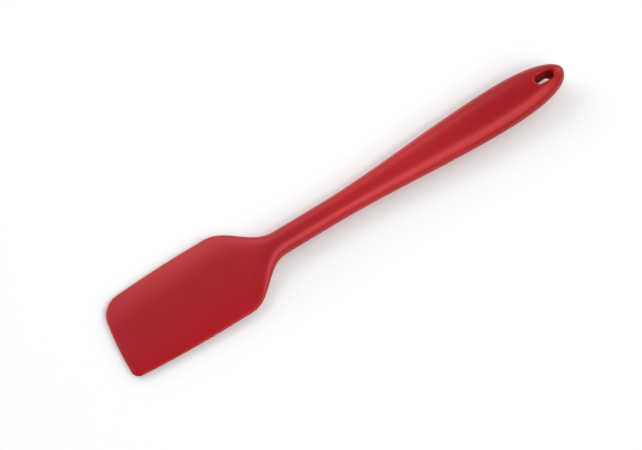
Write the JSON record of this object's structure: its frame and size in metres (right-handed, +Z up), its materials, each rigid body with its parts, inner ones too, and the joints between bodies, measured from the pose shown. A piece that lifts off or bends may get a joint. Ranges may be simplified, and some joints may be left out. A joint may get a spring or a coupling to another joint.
{
  "type": "silicone spatula",
  "caption": "Flexible silicone spatula: a seamless red skin moulded over a stiffening core, with a bending scraper blade and a slot for hanging at the end of its handle.",
  "frame": {"origin": "Centre of the overall length and width, on the surface that the spatula lies on.", "axes": "+X towards the hanging end, +Y across the blade towards its wide-radius corner, +Z up from the surface."},
  "size_m": [0.2862, 0.0488, 0.016],
  "materials": {
    "red_silicone": "satin",
    "core_nylon": "matte"
  },
  "bodies": {
    "handle": {"handle_skin": "red_silicone", "stiffening_core": "core_nylon"},
    "blade_mid": {"blade_mid": "red_silicone"},
    "blade_front": {"blade_front": "red_silicone"},
    "blade_lip": {"blade_lip": "red_silicone"}
  },
  "joints": [
    {"name": "blade_root_flex", "type": "hinge", "parent": "handle", "child": "blade_mid", "pos_m": [-0.10058, 0, 0.00255], "axis": [0, 1, 0], "range_deg": [-25, 25], "stiffness_Nm_per_rad": 0.128},
    {"name": "blade_middle_flex", "type": "hinge", "parent": "blade_mid", "child": "blade_front", "pos_m": [-0.11159, 0, 0.0023], "axis": [0, 1, 0], "range_deg": [-28, 28], "stiffness_Nm_per_rad": 0.071},
    {"name": "blade_lip_flex", "type": "hinge", "parent": "blade_front", "child": "blade_lip", "pos_m": [-0.12258, 0, 0.00209], "axis": [0, 1, 0], "range_deg": [-30, 30], "stiffness_Nm_per_rad": 0.043}
  ]
}
